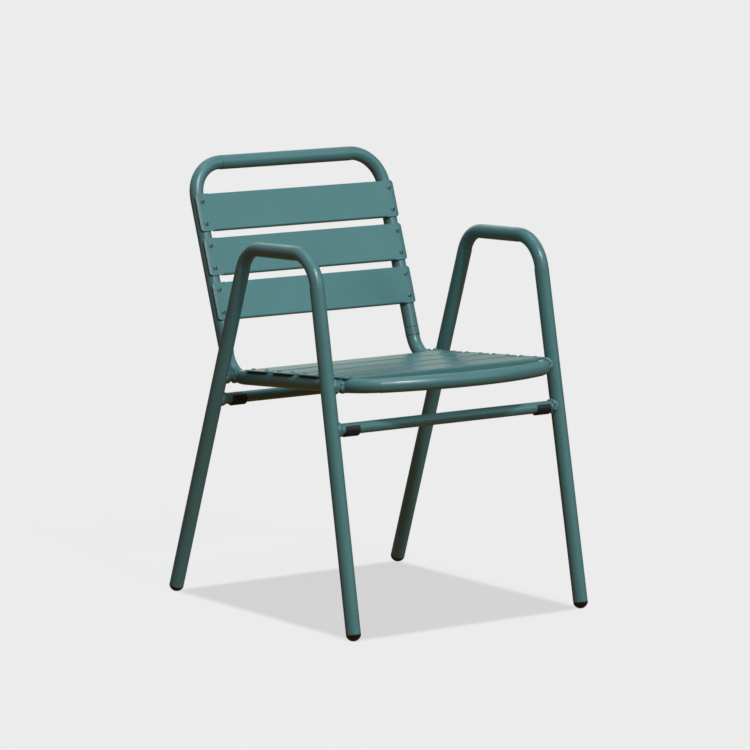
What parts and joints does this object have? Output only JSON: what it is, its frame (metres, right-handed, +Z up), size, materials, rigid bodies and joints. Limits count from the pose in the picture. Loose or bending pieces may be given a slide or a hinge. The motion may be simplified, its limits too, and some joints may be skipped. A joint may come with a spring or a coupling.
{
  "type": "stacking armchair",
  "caption": "Stacking armchair: bent tube side frames carry a riveted sheet slat seat and back, with plastic bumpers on the stretchers and domed caps on the legs.",
  "frame": {"origin": "on the floor, in the middle of the chair's width and depth", "axes": "+X to the right as seen from the front, -Y is the front of the chair, +Z up"},
  "size_m": [0.5018, 0.5869, 0.757],
  "materials": {
    "frame_powder_coat": "satin",
    "slat_powder_coat": "satin",
    "rivet_paint": "semi-gloss",
    "sleeve_aluminium": "mill finish",
    "bumper_plastic": "matte",
    "foot_plastic": "semi-gloss"
  },
  "bodies": {
    "root": {"back_frame": "frame_powder_coat", "seat_frame": "frame_powder_coat", "side_frame_left": "frame_powder_coat", "side_frame_right": "frame_powder_coat", "weld_stub_front_left": "frame_powder_coat", "weld_stub_front_right": "frame_powder_coat", "weld_stub_rear_left": "frame_powder_coat", "weld_stub_rear_right": "frame_powder_coat", "front_stretcher": "frame_powder_coat", "rear_stretcher": "frame_powder_coat", "back_slat_upper": "slat_powder_coat", "back_slat_middle": "slat_powder_coat", "back_slat_lower": "slat_powder_coat", "seat_slat_rear": "slat_powder_coat", "seat_slat_mid_rear": "slat_powder_coat", "seat_slat_mid_front": "slat_powder_coat", "seat_slat_front": "slat_powder_coat", "back_rivets": "rivet_paint", "seat_rivets": "rivet_paint", "joining_sleeve_left": "sleeve_aluminium", "joining_sleeve_right": "sleeve_aluminium", "bumper_front_left": "bumper_plastic", "bumper_front_right": "bumper_plastic", "bumper_rear_left": "bumper_plastic", "bumper_rear_right": "bumper_plastic", "foot_cap_front_left": "foot_plastic", "foot_cap_front_right": "foot_plastic", "foot_cap_rear_left": "foot_plastic", "foot_cap_rear_right": "foot_plastic"}
  },
  "joints": []
}
